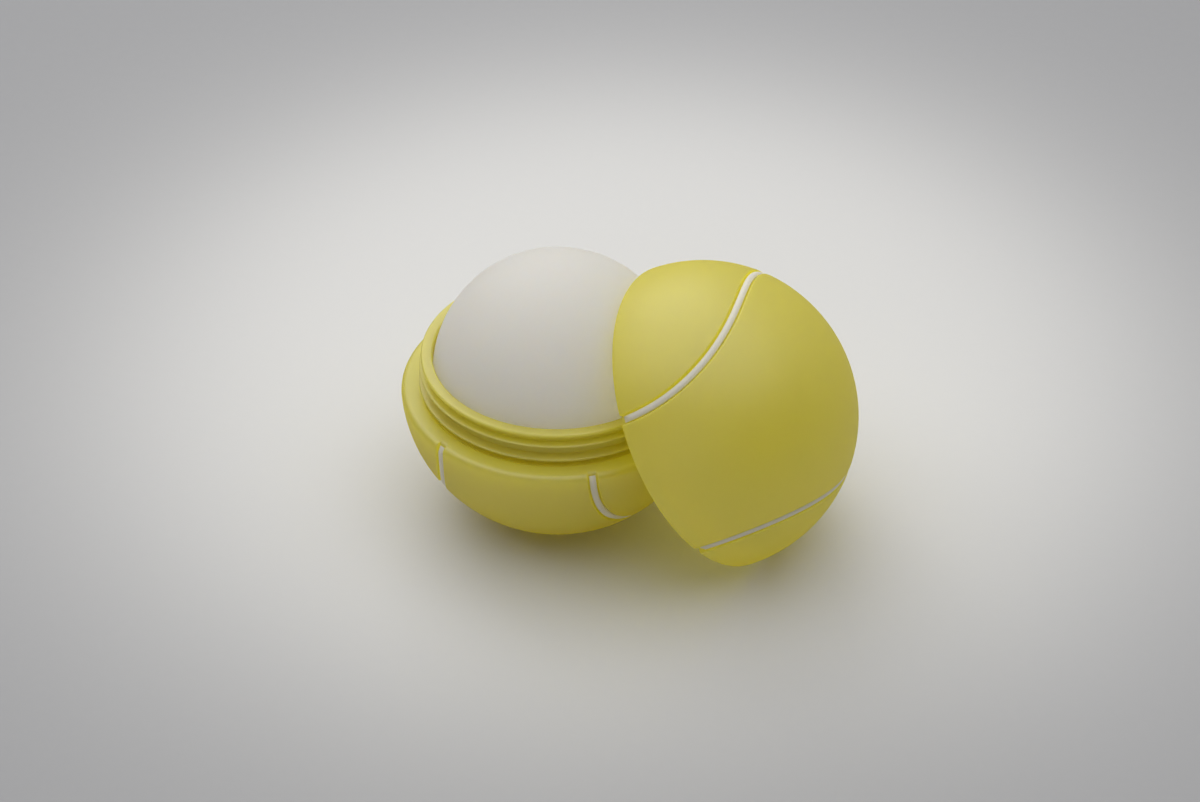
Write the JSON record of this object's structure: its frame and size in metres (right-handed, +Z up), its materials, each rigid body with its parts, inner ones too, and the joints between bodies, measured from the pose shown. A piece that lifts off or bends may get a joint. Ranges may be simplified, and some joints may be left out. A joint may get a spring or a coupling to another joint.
{
  "type": "ball lip balm",
  "caption": "Ball-shaped lip balm shown open: a domed balm in a beaded neck on a flat-footed half ball, with the domed lid off and leaning on it.",
  "frame": {"origin": "centre of the flat foot, on the surface that the ball stands on", "axes": "+Z up along the neck's axis, +X the way the lid leans away from the base, -Y the side where the two seam arms cross the parting line"},
  "size_m": [0.0619, 0.042, 0.0381],
  "materials": {
    "shell_plastic": "satin",
    "seam_white": "matte",
    "balm_wax": "matte wax, slightly translucent",
    "inner_plastic": "natural, matte"
  },
  "bodies": {
    "base": {"base_shell": "shell_plastic", "base_seam": "seam_white", "balm_cup": "shell_plastic", "balm_anchor": "inner_plastic", "balm": "balm_wax"},
    "lid": {"lid_shell": "shell_plastic", "lid_seam": "seam_white", "lid_liner": "inner_plastic"}
  },
  "joints": [
    {"name": "lid_lift", "type": "slide", "parent": "base", "child": "lid", "axis": [0.8443, 0, 0.5358], "range_m": [0, 0.045]}
  ]
}
